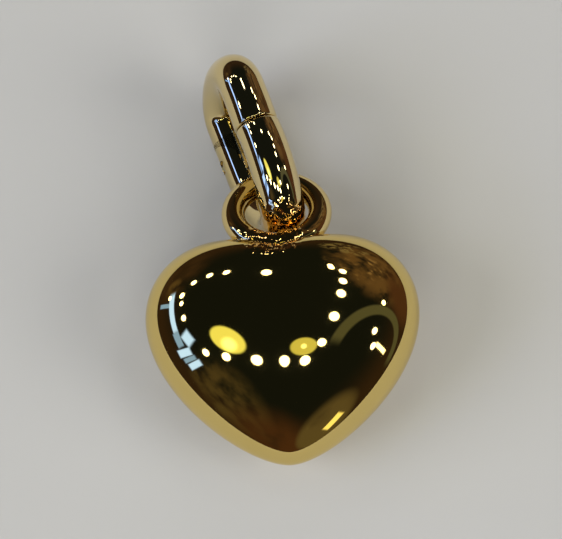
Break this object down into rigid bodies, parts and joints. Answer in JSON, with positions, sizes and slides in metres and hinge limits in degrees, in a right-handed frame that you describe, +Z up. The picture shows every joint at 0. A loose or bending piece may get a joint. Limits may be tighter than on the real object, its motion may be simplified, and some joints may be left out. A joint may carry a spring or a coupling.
{
  "type": "puffy heart pendant",
  "caption": "Puffed heart pendant with smooth domed faces, a round eyelet ring fixed in its cleft, and an oval wire bail whose hinged half opens to clip it on a bag ring or chain.",
  "frame": {"origin": "on the table, under the middle of the pendant's bounding box", "axes": "+X across the heart, to the right when its front dome is seen from above with the point nearest, +Y from the heart's point towards the bail, +Z up from the table to the front dome"},
  "size_m": [0.015, 0.0236, 0.0074],
  "materials": {
    "heart": "mirror polished",
    "ring": "polished",
    "bail": "polished",
    "pin": "polished"
  },
  "bodies": {
    "pendant": {"heart": "heart", "eyelet_ring": "ring"},
    "bail": {"bail_frame": "bail", "hinge_pin": "pin"},
    "gate": {"bail_gate": "bail"}
  },
  "joints": [
    {"name": "bail_swing", "type": "hinge", "parent": "pendant", "child": "bail", "pos_m": [-0.0005, 0.00418, 0.00355], "axis": [0.9354, 0.286, -0.2079], "range_deg": [-92, 85]},
    {"name": "gate_hinge", "type": "hinge", "parent": "bail", "child": "gate", "pos_m": [-0.00173, 0.00653, 0.00125], "axis": [-0.9354, -0.286, 0.2079], "range_deg": [0, 45]}
  ]
}
